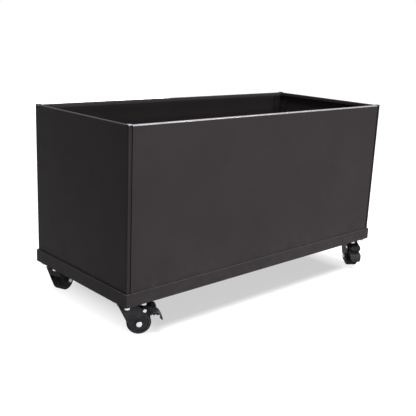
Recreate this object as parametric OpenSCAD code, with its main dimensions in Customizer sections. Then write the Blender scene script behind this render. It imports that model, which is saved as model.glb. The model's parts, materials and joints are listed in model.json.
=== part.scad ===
// Rolling planter: a folded sheet-steel planter box with four corner posts, which stands in a
// shallow tray on four swivel casters. The two casters under the front have brake pedals.
// X runs along the front, -Y is the front, +Z is up, and the origin is on the floor under the middle.

/* [Planter box] */
// Length of the box along its front
box_len = 1000; // [900:10:1200]
// Depth of the box from front to back
box_wid = 430; // [400:5:520]
// Height of the box from its bottom edge to its rim
box_high = 440; // [360:10:600]
// Thickness of the box's sheet
sheet = 1.2; // [1:0.1:1.4]
// Width of the flat rim that is folded inwards
rim_wid = 12; // [10:1:18]
// Depth of the return that is folded down inside the rim
rim_drop = 10; // [6:1:20]
// Outside radius of the folded top edge
rim_bend = 3; // [2:0.5:4]
// Width of the flange that is folded in along the bottom edge
flange_wid = 24; // [18:1:30]
// Width of the hem folded back behind each upright edge of a panel
hem_wid = 18; // [14:1:22]

/* [Corner posts] */
// Width of the nose that shows at each corner
nose = 5; // [5:0.5:8]
// Radius of the nose's outer edge
nose_round = 1.5; // [0.5:0.5:2.5]
// Width of the shadow gap between the nose and a long panel
reveal = 7; // [5:0.5:9]
// Depth of the shadow gap
reveal_deep = 3; // [3:0.5:4.5]
// Width of the closed seam between the nose and an end panel
end_seam = 0.6; // [0.4:0.1:1]
// Thickness of the post's two legs
post_wall = 1.5; // [1.2:0.1:2]
// Length of each leg from the outer corner
post_leg = 34; // [32:1:44]
// Thickness of the cap on top of each post
cap_high = 1.5; // [1:0.5:3]

/* [Rivets] */
// Radius of the rivets' domed heads
rivet_head_r = 4.5; // [4:0.25:5]
// Height of the rivets' domed heads
rivet_head_high = 1.5; // [1:0.1:2]
// Radius of the rivets' shanks
rivet_r = 2.4; // [2:0.1:2.8]
// Length of shank that stands out behind the riveted sheets
rivet_tail = 0.4; // [0.3:0.1:0.5]
// Rivets up each leg of a post
post_rivets = 4; // [2:1:6]
// Distance of the first and last rivet from the ends of a post
post_rivet_end = 50; // [40:5:80]
// Rivets through each long edge of the floor
floor_rivets_long = 4; // [2:1:6]
// Distance of the first and last of those rivets from the ends of the box
floor_rivet_end = 160; // [150:5:200]

/* [Floor] */
// Height of the floor panel's upturned edge
floor_upturn = 12; // [8:1:20]
// Radius of a drain hole
drain_r = 6; // [4:0.5:10]
// Drain holes along the floor
drain_columns = 4; // [2:1:6]
// Distance between the two rows of drain holes
drain_row_gap = 180; // [100:10:240]
// Distance between neighbouring drain holes in a row
drain_pitch = 200; // [120:10:220]
// Width of the channels that carry the floor on the tray
bearer_wid = 40; // [30:5:60]
// Thickness of the channels' sheet
bearer_wall = 1.5; // [1.2:0.1:2]
// Distance between neighbouring channels
bearer_pitch = 300; // [240:10:340]
// Height of the rubber pads under the box
pad_high = 8; // [7:0.5:14]
// Length of a rubber pad
pad_len = 40; // [30:5:60]
// Width of a rubber pad
pad_wid = 20; // [14:1:22]
// Distance of the outer pads from the ends of the box
pad_inset = 100; // [95:5:115]

/* [Tray] */
// Height of the tray's walls
tray_high = 34; // [28:1:50]
// Thickness of the tray's sheet
tray_sheet = 1.5; // [1.2:0.1:2]
// Space between the box and the tray's lip
tray_gap = 1; // [1:0.5:4]
// Thickness of the lip hemmed around the top of the tray
lip_thick = 4; // [2.5:0.5:5]
// Depth of that hem
lip_drop = 8; // [5:1:12]
// Radius of the tray's upright corners
tray_round = 4; // [2:0.5:6]
// Width of the rails welded under the tray
rail_wid = 36; // [30:2:60]
// Depth of the rails
rail_deep = 12; // [8:1:20]
// Distance between the two rails, middle to middle
rail_gap = 160; // [120:10:200]
// Space between the ends of the rails and the casters' plates
rail_end_gap = 14; // [8:1:40]

/* [Casters] */
// Diameter of the wheels
wheel_dia = 63.5; // [58:0.5:70]
// Height of the top of a caster's plate above the wheel
plate_over = 26.5; // [25:0.5:32]
// Width of the tread
wheel_wid = 32; // [28:1:34]
// Distance from the swivel axis to the wheel's axle
trail = 27.5; // [26:0.5:30]
// Distance from the tray's end to the swivel axis
caster_inset_x = 40; // [40:1:60]
// Distance from the tray's front or back to the swivel axis
caster_inset_y = 47.5; // [47:0.5:60]
// Direction that the front left wheel trails in, from +X
front_left_turn = -33; // [-180:1:180]
// Direction that the front right wheel trails in
front_right_turn = -125; // [-180:1:180]
// Direction that the back left wheel trails in
back_left_turn = 22; // [-180:1:180]
// Direction that the back right wheel trails in
back_right_turn = 74; // [-180:1:180]
// Size of a caster's plate along X
plate_x = 70; // [70:1:74]
// Size of a caster's plate along Y
plate_y = 84; // [82:1:88]
// Thickness of a caster's plate
plate_thick = 3; // [2.5:0.5:4]
// Radius of the plate's corners
plate_round = 7; // [4:1:9]
// Distance between the plate's bolts along X
bolt_x = 52; // [50:1:54]
// Distance between the plate's bolts along Y
bolt_y = 65; // [64:1:68]
// Radius of the plate bolts
bolt_r = 4; // [3.5:0.5:4]
// Height of the plate bolts' button heads
bolt_head_high = 4.4; // [3:0.2:5]
// Radius of the plate bolts' button heads
bolt_head_r = 7; // [6:0.5:8]
// Distance across the flats of the plate nuts
nut_flats = 13; // [12:0.5:13]
// Thickness of the plate nuts' hexagon
nut_high = 6; // [5:0.5:6]
// Radius of the plate nuts' flange
nut_flange_r = 8; // [7:0.5:8]
// Thickness of the plate nuts' flange
nut_flange = 1.5; // [1:0.25:1.5]
// Length of bolt that stands out below a plate nut
bolt_tail = 0.7; // [0.5:0.1:1]

/* [Forks] */
// Thickness of the fork's sheet
fork_sheet = 2.5; // [2:0.25:3]
// Space between the wheel and each cheek of the fork
wheel_gap = 2; // [2:0.5:3]
// Radius of the fork's round crown
crown_r = 28; // [27:0.5:30]
// Height of the skirt around the crown
skirt_high = 6; // [4:0.5:6]
// Radius of the ball track's disc under the plate
race_r = 24; // [23:0.5:24]
// Thickness of that disc
race_thick = 3.7; // [3.5:0.1:4.5]
// Radius of a ball
ball_r = 2.1; // [1.8:0.1:2.4]
// Balls in each caster
ball_count = 12; // [6:1:16]
// Radius of the circle that the balls run on
ball_track_r = 18.5; // [16:0.5:19]
// Radius of the king pin
king_r = 6; // [5:0.5:7]
// Radius of the washer head under the crown
king_head_r = 11; // [9:0.5:12]
// Thickness of that head
king_head = 3; // [2:0.5:4]
// How far the fork's leading edge and its cheeks stay inside the crown's edge
web_inset = 3.5; // [3:0.5:5]
// Height at which the fork's front web ends, as a share of the wheel's diameter
web_end = 0.78; // [0.74:0.01:0.82]
// Radius of the round lobe at the axle
lobe_r = 19; // [16:0.5:21]
// How far the middle of the cheek's front bulge lies in front of the axle
bulge_lead = 6.5; // [5:0.5:8]
// How far the middle of that bulge lies above the axle
bulge_rise = 1.5; // [0:0.5:3]
// How much larger than the lobe's radius that bulge's radius is
bulge_extra = 1.8; // [1:0.2:2.4]
// Width of sheet around the head of the pedal's pin
ear_rim = 1.4; // [1:0.2:2]
// Radius of the axle bolt
axle_r = 5; // [4:0.5:5]
// Distance across the flats of the axle bolt's head and nut
axle_flats = 14; // [14:0.5:17]
// Thickness of the axle bolt's head
axle_head = 5.6; // [5:0.2:8]
// Thickness of the axle nut
axle_nut_high = 8; // [6:0.5:10]
// Radius of the washers under the axle bolt's head and nut
washer_r = 10.5; // [9.5:0.5:12]
// Thickness of those washers
washer = 1.6; // [1:0.2:2]
// Length of axle bolt that stands out past its nut
axle_tail = 1; // [0.5:0.5:3]

/* [Wheels] */
// Outside radius of the sleeve that the wheel turns on
sleeve_r = 7; // [6.5:0.25:8]
// Radius of the wheel's hub
hub_r = 11; // [10:0.5:12]
// How far the hub stands out past the tread on each side
hub_proud = 1.5; // [0.5:0.5:1.5]
// Thickness of the tyre, from the wheel's rim to the tread
tyre_thick = 8.75; // [7.75:0.25:10.75]
// Thickness of the rim
core_rim = 3; // [2:0.5:4]
// Thickness of the wheel's web
core_web = 8; // [6:1:12]
// Radius of the tyre's shoulders
shoulder = 4; // [2:0.5:5]
// Distance from the tread in to the middle of the groove round each side of the tyre
tyre_groove_in = 5.75; // [5.25:0.25:6.25]
// Radius of that groove's round section
tyre_groove = 0.7; // [0.4:0.1:0.9]

/* [Brakes] */
// Distance of the pedal's pivot behind the axle
pivot_back = 14; // [13:0.5:15]
// Height of the pedal's pivot above the wheel
pivot_over = 2.5; // [2.5:0.25:4]
// Angle that the pedal is pressed through, in degrees
pedal_travel = 14; // [8:1:14]
// Radius of the pedal's pin
pedal_pin_r = 3; // [2.5:0.25:3]
// Radius of the pin's heads
pedal_pin_head_r = 5.4; // [4.5:0.2:6]
// Thickness of the pin's heads
pedal_pin_head = 2.2; // [1.5:0.1:3]
// Thickness of the pedal's sheet
pedal_sheet = 2; // [1.5:0.1:2]
// How far the pedal's root reaches in front of the pivot
pedal_root = 4.5; // [3:0.5:4.5]
// Length of the upper, releasing tongue from the pivot
upper_len = 31; // [28:0.5:33]
// Height of the upper tongue above the pivot
upper_rise = 9; // [8:0.25:9.5]
// Length of the upper tongue's end that slopes down
upper_slope = 14; // [10:0.5:16]
// Fall of that slope, before its lip
upper_fall = 3; // [2:0.25:3.5]
// Depth of the lip at the end of the upper tongue
upper_lip = 5; // [3:0.5:7]
// Depth of the skirts under the edges of the upper tongue
upper_skirt = 4.5; // [3:0.5:6]
// Length of the flat of the lower, locking tongue from the pivot
lower_len = 35.5; // [33:0.5:37]
// Drop of the lower tongue below the pivot
lower_drop = 11; // [10.5:0.25:12]
// Length that the lower tongue's bent end reaches out
lower_reach = 12.5; // [10:0.5:16]
// Depth that the lower tongue's bent end reaches down
lower_fall = 20; // [16:0.5:24]
// Radius of the tongues' outer corners
tongue_round = 9; // [5:0.5:11]
// Depth of the skirts under the edges of the lower tongue
skirt_deep = 5.5; // [4.5:0.25:6]
// Scallops along each skirt
scallops = 3; // [1:1:3]
// Distance from the lower tongue's bend back to the middle of the first scallop
scallop_lead = 2.5; // [1:0.25:3]
// Radius of a scallop
scallop_r = 3.4; // [2.5:0.1:3.6]
// Distance between neighbouring scallops
scallop_pitch = 9.5; // [8:0.25:9.5]
// Length of the pedal's side plates along the upper tongue, from the pivot
neck_len = 13; // [11:0.5:14]
// Width of sheet around the pin's hole in each side plate
pedal_boss = 3; // [2.5:0.25:3.5]
// Length over which a side plate laps the lower tongue's skirt
skirt_lap = 3; // [2:0.5:4]
// Thickness of the brake shoe
shoe_thick = 3; // [2:0.5:4]
// Thickness of the brake's leaf spring
spring_thick = 1.2; // [0.8:0.1:1.6]
// Width of the leaf spring
spring_wid = 10; // [8:1:16]

/* [Fits] */
// Space around a fastener in its hole
hole_clear = 0.05; // [0.05:0.05:0.3]
// Radial running clearance of a shaft in its bore
run_clear = 0.08; // [0.05:0.01:0.1]
// Space between pieces that pass each other
pass_clear = 0.3; // [0.3:0.05:0.5]

/* [Hidden] */
$fn = 48;
half_len = box_len / 2;
half_wid = box_wid / 2;
corner = nose + reveal;
end_corner = nose + end_seam;
cap_wid = max(corner, rim_wid);
tray_out = tray_gap + lip_thick;
tray_x = half_len + tray_out;
tray_y = half_wid + tray_out;
caster_high = wheel_dia + plate_over;
tray_floor_z = caster_high + tray_sheet;
box_z = tray_floor_z + pad_high;
rim_z = box_z + box_high;
floor_z = box_z + sheet;
floor_edge = reveal_deep + post_wall + pass_clear;
flange_start = post_leg + 1;
panel_top = box_high - rim_bend;
bearer_deep = pad_high + sheet;
swivel_x = tray_x - caster_inset_x;
swivel_y = tray_y - caster_inset_y;
wheel_r = wheel_dia / 2;
core_r = wheel_r - tyre_thick;
tyre_groove_r = wheel_r - tyre_groove_in;
plate_under = caster_high - plate_thick;
crown_top = plate_under - race_thick - 2 * ball_r - 2 * hole_clear;
crown_under = crown_top - fork_sheet;
cheek_in = wheel_wid / 2 + wheel_gap;
cheek_out = cheek_in + fork_sheet;
hex_point = 1 / cos(30);
pivot_s = trail + pivot_back;
pivot_z = wheel_dia + pivot_over;
pedal_out = cheek_in - pass_clear;
ear_r = pedal_pin_head_r + ear_rim;
lead_x = web_inset - crown_r;
bulge_r = lobe_r + bulge_extra;
bulge_at = [trail - bulge_lead, wheel_r + bulge_rise];
lead_way = bulge_at - [lead_x, crown_top];
lead_slope = atan2(lead_way[1], lead_way[0]) - asin(bulge_r / norm(lead_way));
flat_start = 15;
shoe_from = 44;
shoe_to = 60;
cheek_wall = pedal_sheet - 0.4;

charcoal = "#3c3939";
dark_post = "#2a292b";
black_steel = "#232224";
black_rubber = "#151517";
zinc = "#c4c6ca";

// ---- shapes used more than once ----

module rounded_rect(x, y, r) {
    square([x, y - 2 * r], center = true);
    square([x - 2 * r, y], center = true);
    for (sx = [-1, 1], sy = [-1, 1])
        translate([sx * (x / 2 - r), sy * (y / 2 - r)]) circle(r);
}

// A quarter of a folded edge: outside radius r, sheet t, centred on the origin, facing -X and +Y
module bend(r, t) {
    intersection() {
        difference() {
            circle(r);
            circle(r - t);
        }
        translate([-r, 0]) square(r);
    }
}

// Lifts a flat shape drawn along (X, Z) and gives it a width across Y from y0 to y1
module across(y0, y1) {
    translate([0, y1, 0]) rotate([90, 0, 0]) linear_extrude(y1 - y0) children();
}

module rivet(grip) {
    dome_r = (rivet_head_r ^ 2 + rivet_head_high ^ 2) / (2 * rivet_head_high);
    rotate_extrude() intersection() {
        translate([0, rivet_head_high - dome_r]) circle(dome_r, $fn = 96);
        square([rivet_head_r, rivet_head_high]);
    }
    translate([0, 0, -grip - rivet_tail]) cylinder(r = rivet_r, h = grip + rivet_tail);
}

// ---- planter box ----

// The heights of the rivets up a post, from the bottom edge of the box
function post_rivet_z(i) =
    post_rivet_end + i * (box_high - 2 * post_rivet_end) / (post_rivets - 1);

module rim_profile() {
    translate([rim_bend, box_high - rim_bend]) bend(rim_bend, sheet);
    translate([rim_bend, box_high - sheet]) square([rim_wid - 2 * rim_bend, sheet]);
    translate([rim_wid - rim_bend, box_high - rim_bend]) mirror([1, 0]) bend(rim_bend, sheet);
    translate([rim_wid - sheet, box_high - rim_drop]) square([sheet, rim_drop - rim_bend]);
}

// A folded panel: its outer face is on Y = 0, it is centred on X, and its bottom edge is on Z = 0.
// It stops short of the box's corners by inset.
module panel(length, inset) {
    reach = length / 2 - inset;
    hem_y = reveal_deep - sheet;
    difference() {
        union() {
            translate([-reach, 0, 0]) cube([2 * reach, sheet, panel_top]);
            rotate([90, 0, 90])
                linear_extrude(length - 2 * cap_wid, center = true) rim_profile();
            translate([flange_start - length / 2, 0, 0])
                cube([length - 2 * flange_start, flange_wid, sheet]);
            for (side = [0, 1]) mirror([side, 0, 0]) {
                if (inset < cap_wid)
                    translate([-reach, 0, 0]) cube([cap_wid - inset, sheet, box_high]);
                translate([-reach, 0, 0]) cube([sheet, reveal_deep, panel_top]);
                translate([-reach, hem_y, 0]) cube([hem_wid, sheet, panel_top]);
            }
        }
        for (side = [0, 1], i = [0 : post_rivets - 1]) mirror([side, 0, 0])
            translate([hem_wid / 2 - reach, hem_y - 1, post_rivet_z(i)])
                rotate([-90, 0, 0]) cylinder(r = rivet_r + hole_clear, h = sheet + 2);
    }
}

module long_panel_at(back) {
    color(charcoal) rotate([0, 0, back ? 180 : 0]) translate([0, -half_wid, box_z])
        difference() {
            panel(box_len, corner);
            for (x = floor_rivet_x()) translate([x, floor_rivet_in(), -1])
                cylinder(r = rivet_r + hole_clear, h = sheet + 2);
        }
}

module end_panel_at(right) {
    color(charcoal) rotate([0, 0, right ? 90 : -90]) translate([0, -half_len, box_z])
        panel(box_wid, end_corner);
}

// A corner post standing in the box's front left corner, with its outer corner on the origin
module post() {
    difference() {
        union() {
            linear_extrude(box_high) difference() {
                square(nose);
                difference() {
                    translate([-1, -1]) square(nose_round + 1);
                    translate([nose_round, nose_round]) circle(nose_round);
                }
            }
            linear_extrude(panel_top - pass_clear) {
                translate([reveal_deep, reveal_deep]) square([post_leg - reveal_deep, post_wall]);
                translate([reveal_deep, reveal_deep]) square([post_wall, post_leg - reveal_deep]);
            }
            translate([0, 0, box_high]) linear_extrude(cap_high) difference() {
                square(cap_wid);
                difference() {
                    translate([-1, -1]) square(nose_round + 1);
                    translate([nose_round, nose_round]) circle(nose_round);
                }
            }
        }
        for (i = [0 : post_rivets - 1]) {
            translate([corner + hem_wid / 2, reveal_deep - 1, post_rivet_z(i)])
                rotate([-90, 0, 0]) cylinder(r = rivet_r + hole_clear, h = post_wall + 2);
            translate([reveal_deep - 1, end_corner + hem_wid / 2, post_rivet_z(i)])
                rotate([0, 90, 0]) cylinder(r = rivet_r + hole_clear, h = post_wall + 2);
        }
    }
}

// Puts its children at a corner of the box: x and y are each -1 or 1
module at_corner(x, y) {
    mirror([x > 0 ? 1 : 0, 0, 0]) mirror([0, y > 0 ? 1 : 0, 0])
        translate([-half_len, -half_wid, box_z]) children();
}

module post_at(x, y) {
    color(dark_post) at_corner(x, y) post();
}

module corner_rivets() {
    grip = sheet + post_wall;
    into = reveal_deep + post_wall;
    color(zinc) for (x = [-1, 1], y = [-1, 1], i = [0 : post_rivets - 1]) at_corner(x, y) {
        translate([corner + hem_wid / 2, into, post_rivet_z(i)])
            rotate([-90, 0, 0]) rivet(grip);
        translate([into, end_corner + hem_wid / 2, post_rivet_z(i)])
            rotate([0, 90, 0]) rivet(grip);
    }
}

function floor_rivet_in() = (floor_edge + sheet + flange_wid) / 2;
function floor_rivet_x() = [
    for (i = [0 : floor_rivets_long - 1])
        (i - (floor_rivets_long - 1) / 2) * (box_len - 2 * floor_rivet_end) / (floor_rivets_long - 1)
];

module floor_panel() {
    x = box_len - 2 * floor_edge;
    y = box_wid - 2 * floor_edge;
    color(charcoal) difference() {
        translate([-x / 2, -y / 2, floor_z]) cube([x, y, sheet + floor_upturn]);
        translate([sheet - x / 2, sheet - y / 2, floor_z + sheet])
            cube([x - 2 * sheet, y - 2 * sheet, floor_upturn + 1]);
        for (i = [0 : drain_columns - 1], side = [-1, 1])
            translate([(i - (drain_columns - 1) / 2) * drain_pitch, side * drain_row_gap / 2, floor_z - 1])
                cylinder(r = drain_r, h = sheet + 2);
        for (fx = floor_rivet_x(), side = [-1, 1])
            translate([fx, side * (half_wid - floor_rivet_in()), floor_z - 1])
                cylinder(r = rivet_r + hole_clear, h = sheet + 2);
    }
}

module floor_rivets() {
    color(zinc) for (fx = floor_rivet_x(), side = [-1, 1])
        translate([fx, side * (half_wid - floor_rivet_in()), floor_z + sheet]) rivet(2 * sheet);
}

// Channels under the floor panel, open downwards, which stand on the tray
module floor_bearers() {
    y = box_wid - 2 * (flange_wid + 1);
    color(charcoal) for (i = [-1 : 1]) translate([i * bearer_pitch, 0, tray_floor_z]) difference() {
        translate([-bearer_wid / 2, -y / 2, 0]) cube([bearer_wid, y, bearer_deep]);
        translate([bearer_wall - bearer_wid / 2, -y / 2 - 1, -1])
            cube([bearer_wid - 2 * bearer_wall, y + 2, bearer_deep - bearer_wall + 1]);
    }
}

module support_pads() {
    color(black_rubber) for (x = [-1, 0, 1], y = [-1, 1])
        translate([x * (half_len - pad_inset), y * (half_wid - flange_wid / 2), tray_floor_z])
            linear_extrude(pad_high) rounded_rect(pad_len, pad_wid, 3);
}

// ---- tray ----

module at_casters() {
    for (x = [-1, 1], y = [-1, 1]) translate([x * swivel_x, y * swivel_y, 0]) children();
}

module at_plate_bolts() {
    for (x = [-1, 1], y = [-1, 1]) translate([x * bolt_x / 2, y * bolt_y / 2, 0]) children();
}

module base_tray() {
    lip_z = caster_high + tray_high - lip_drop;
    color(charcoal) difference() {
        union() {
            translate([0, 0, caster_high]) linear_extrude(tray_sheet)
                rounded_rect(2 * tray_x, 2 * tray_y, tray_round);
            translate([0, 0, caster_high]) linear_extrude(tray_high)
                tray_ring(tray_sheet);
            translate([0, 0, lip_z]) linear_extrude(lip_drop) tray_ring(lip_thick);
        }
        at_casters() at_plate_bolts() translate([0, 0, caster_high - 1])
            cylinder(r = bolt_r + hole_clear, h = tray_sheet + 2);
    }
}

module tray_ring(thick) {
    difference() {
        rounded_rect(2 * tray_x, 2 * tray_y, tray_round);
        rounded_rect(2 * (tray_x - thick), 2 * (tray_y - thick), max(tray_round - thick, 0.5));
    }
}

// Channels welded under the tray between the casters, open towards it
module tray_rails() {
    x = 2 * (swivel_x - plate_x / 2 - rail_end_gap);
    color(charcoal) for (side = [-1, 1])
        translate([-x / 2, side * rail_gap / 2 - rail_wid / 2, caster_high - rail_deep]) difference() {
            cube([x, rail_wid, rail_deep]);
            translate([-1, tray_sheet, tray_sheet])
                cube([x + 2, rail_wid - 2 * tray_sheet, rail_deep]);
        }
}

module caster_bolts() {
    length = tray_sheet + plate_thick + nut_flange + nut_high + bolt_tail;
    dome_r = (bolt_head_r ^ 2 + bolt_head_high ^ 2) / (2 * bolt_head_high);
    color(zinc) at_casters() at_plate_bolts() translate([0, 0, tray_floor_z]) {
        difference() {
            rotate_extrude() intersection() {
                translate([0, bolt_head_high - dome_r]) circle(dome_r, $fn = 96);
                square([bolt_head_r, bolt_head_high]);
            }
            translate([0, 0, bolt_head_high - 2.4]) cylinder(r = 2.5 * hex_point, h = 5, $fn = 6);
        }
        translate([0, 0, -length]) cylinder(r = bolt_r, h = length);
    }
}

module caster_nuts() {
    color(zinc) at_casters() at_plate_bolts() difference() {
        union() {
            translate([0, 0, plate_under - nut_flange]) cylinder(r = nut_flange_r, h = nut_flange);
            translate([0, 0, plate_under - nut_flange - nut_high]) intersection() {
                cylinder(r = nut_flats / 2 * hex_point, h = nut_high, $fn = 6);
                translate([0, 0, nut_high / 2]) sphere(r = nut_flats / 2 * 1.16, $fn = 64);
            }
        }
        translate([0, 0, plate_under - nut_flange - nut_high - 1])
            cylinder(r = bolt_r + hole_clear, h = nut_flange + nut_high + 2);
    }
}

// ---- casters: drawn with the wheel trailing along +X and the swivel axis on Z ----

module at_caster(x, y, turn) {
    translate([x * swivel_x, y * swivel_y, 0]) rotate(turn) children();
}

module king_pins() {
    color(zinc) at_casters() {
        translate([0, 0, crown_under - pass_clear - king_head])
            cylinder(r = king_head_r, h = king_head);
        translate([0, 0, crown_under - pass_clear - king_head])
            cylinder(r = king_r, h = caster_high - hole_clear - crown_under + pass_clear + king_head);
    }
}

module bearing_balls() {
    z = crown_top + ball_r + hole_clear;
    color(zinc) at_casters() for (i = [0 : ball_count - 1]) rotate(i * 360 / ball_count)
        translate([ball_track_r, 0, z]) sphere(r = ball_r, $fn = 24);
}

// The plate stays square to the tray, whichever way the wheel trails
module plate_at(x, y) {
    color(black_steel) translate([x * swivel_x, y * swivel_y, 0]) difference() {
        union() {
            translate([0, 0, plate_under]) linear_extrude(plate_thick)
                rounded_rect(plate_x, plate_y, plate_round);
            translate([0, 0, plate_under - race_thick]) cylinder(r = race_r, h = race_thick + 1);
        }
        translate([0, 0, plate_under - race_thick - 1])
            cylinder(r = king_r + hole_clear, h = race_thick + plate_thick + 2);
        at_plate_bolts() translate([0, 0, plate_under - 1])
            cylinder(r = bolt_r + hole_clear, h = plate_thick + 2);
    }
}

// The side view of a fork's cheek, from the crown to the round lobe at the axle
module cheek_shape(braked) {
    touch = bulge_at + bulge_r * [sin(lead_slope), -cos(lead_slope)];
    rear = braked
        ? [[pivot_s - ear_r, pivot_z + ear_r * 0.8], [pivot_s, pivot_z + ear_r], [pivot_s + ear_r, pivot_z]]
        : [[trail + lobe_r * 0.6, crown_under - skirt_high]];
    polygon(concat(
        [[lead_x, crown_top], [-lead_x, crown_top]],
        rear,
        [[trail + lobe_r * 1.1, wheel_r + lobe_r * 0.9], [trail + lobe_r, wheel_r], bulge_at, touch]
    ));
    translate(bulge_at) circle(bulge_r);
    translate([trail, wheel_r]) circle(lobe_r);
    if (braked) translate([pivot_s, pivot_z]) circle(ear_r);
}

// The web that joins the two cheeks along their leading edge
module front_web_shape() {
    run = (crown_top - wheel_dia * web_end) / -sin(lead_slope);
    translate([lead_x, crown_top]) rotate(lead_slope) square([run, fork_sheet]);
}

module fork(braked) {
    color(black_steel) difference() {
        union() {
            translate([0, 0, crown_under]) cylinder(r = crown_r, h = fork_sheet);
            translate([0, 0, crown_under]) difference() {
                cylinder(r = crown_r, h = fork_sheet + skirt_high);
                translate([0, 0, -1]) cylinder(r = crown_r - fork_sheet, h = fork_sheet + skirt_high + 2);
            }
            across(-cheek_out, -cheek_in) cheek_shape(braked);
            across(cheek_in, cheek_out) cheek_shape(braked);
            across(-cheek_out, cheek_out) front_web_shape();
        }
        translate([0, 0, crown_under - 1]) cylinder(r = king_r + run_clear, h = fork_sheet + 2);
        translate([trail, -cheek_out - 1, wheel_r]) rotate([-90, 0, 0])
            cylinder(r = axle_r + hole_clear, h = 2 * cheek_out + 2);
        if (braked) translate([pivot_s, -cheek_out - 1, pivot_z]) rotate([-90, 0, 0])
            cylinder(r = pedal_pin_r + hole_clear, h = 2 * cheek_out + 2);
    }
}

module axle_bolt() {
    length = 2 * (cheek_out + washer) + axle_nut_high + axle_tail;
    color(zinc) translate([trail, -cheek_out - washer, wheel_r]) rotate([-90, 0, 0]) {
        cylinder(r = axle_r, h = length);
        translate([0, 0, -axle_head]) intersection() {
            cylinder(r = axle_flats / 2 * hex_point, h = axle_head, $fn = 6);
            translate([0, 0, axle_head]) sphere(r = axle_flats / 2 * 1.25, $fn = 64);
        }
    }
}

module axle_washers() {
    color(black_steel) for (side = [0, 1]) mirror([0, side, 0])
        translate([trail, -cheek_out, wheel_r]) rotate([90, 0, 0]) difference() {
            cylinder(r = washer_r, h = washer);
            translate([0, 0, -1]) cylinder(r = axle_r + hole_clear, h = washer + 2);
        }
}

module axle_nut() {
    color(zinc) translate([trail, cheek_out + washer, wheel_r]) rotate([-90, 0, 0]) difference() {
        cylinder(r = axle_flats / 2 * hex_point, h = axle_nut_high, $fn = 6);
        translate([0, 0, -1]) cylinder(r = axle_r + hole_clear, h = axle_nut_high + 2);
    }
}

module sleeve() {
    color(zinc) translate([trail, -cheek_in, wheel_r]) rotate([-90, 0, 0]) difference() {
        cylinder(r = sleeve_r, h = 2 * cheek_in);
        translate([0, 0, -1]) cylinder(r = axle_r + hole_clear, h = 2 * cheek_in + 2);
    }
}

module wheel_core() {
    hub_half = wheel_wid / 2 + hub_proud;
    rim_half = wheel_wid / 2 - 1.5;
    bore = sleeve_r + run_clear;
    color(black_steel) translate([trail, 0, wheel_r]) rotate([90, 0, 0]) rotate_extrude() {
        translate([bore, -hub_half]) square([hub_r - bore, 2 * hub_half]);
        translate([hub_r - 1, -core_web / 2]) square([core_r - hub_r, core_web]);
        translate([core_r - core_rim, -rim_half]) square([core_rim, 2 * rim_half]);
    }
}

module tyre() {
    half = wheel_wid / 2;
    inner = core_r + hole_clear;
    color(black_rubber) translate([trail, 0, wheel_r]) rotate([90, 0, 0]) rotate_extrude()
        difference() {
            union() {
                translate([inner, -half]) square([wheel_r - shoulder - inner, wheel_wid]);
                translate([inner, shoulder - half])
                    square([wheel_r - inner, wheel_wid - 2 * shoulder]);
                for (side = [-1, 1]) translate([wheel_r - shoulder, side * (half - shoulder)])
                    circle(shoulder);
            }
            for (side = [-1, 1]) translate([tyre_groove_r, side * half]) circle(tyre_groove);
        }
}

// ---- brake ----

// Turns its flat children about the pedal's pivot, from where the pedal locks to where it rests
module released() {
    translate([pivot_s, pivot_z]) rotate(pedal_travel) translate([-pivot_s, -pivot_z]) children();
}

// A piece of a ring around the axle, from radius r0 to r1, over the angles that the shoe covers
module brake_arc(r0, r1, extra) {
    a0 = shoe_from - extra;
    a1 = shoe_to + extra;
    translate([trail, wheel_r]) intersection() {
        difference() {
            circle(r1, $fn = 96);
            circle(r0, $fn = 96);
        }
        polygon([[0, 0], 2 * r1 * [cos(a0), sin(a0)], 2 * r1 * [cos(a1), sin(a1)]]);
    }
}

// A strip of the pedal's sheet along a path, given by the points on its upper side
module strip(points, down) {
    polygon(concat(points, [for (i = [len(points) - 1 : -1 : 0]) points[i] + down[i]]));
}

module tongue_plan(end_x) {
    root = pivot_s - pedal_root;
    translate([root, -pedal_out]) square([end_x - tongue_round - root, 2 * pedal_out]);
    translate([root, tongue_round - pedal_out])
        square([end_x - root, 2 * (pedal_out - tongue_round)]);
    for (side = [-1, 1]) translate([end_x - tongue_round, side * (pedal_out - tongue_round)])
        circle(tongue_round);
}

module upper_tongue() {
    top = pivot_z + upper_rise + pedal_sheet;
    x0 = pivot_s - pedal_root;
    x1 = pivot_s + upper_len;
    path = [[x0, top], [x1 - upper_slope, top], [x1 - upper_fall, top - upper_fall],
            [x1, top - upper_fall - upper_lip]];
    thin = [[0, -pedal_sheet], [-0.4, -pedal_sheet], [-1.4, -pedal_sheet], [-pedal_sheet, -0.6]];
    deep = [[0, -upper_skirt], [-1, -upper_skirt], [-2, -upper_skirt], [-pedal_sheet, -0.6]];
    intersection() {
        union() {
            across(-pedal_out, pedal_out) strip(path, thin);
            across(-pedal_out, cheek_wall - pedal_out) strip(path, deep);
            across(pedal_out - cheek_wall, pedal_out) strip(path, deep);
        }
        linear_extrude(2 * caster_high) tongue_plan(x1);
    }
}

// The upper side of the lower tongue, from its root to its bent end
function lower_path() = [
    for (p = [[0, 0], [1, 0], [1.18, 0.1], [1.44, 0.31], [1.74, 0.62], [2, 1]])
        p[0] <= 1
            ? [pivot_s + flat_start + p[0] * (lower_len - flat_start), pivot_z - lower_drop + pedal_sheet]
            : [pivot_s + lower_len + (p[0] - 1) * lower_reach,
               pivot_z - lower_drop + pedal_sheet - p[1] * lower_fall]
];

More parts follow.
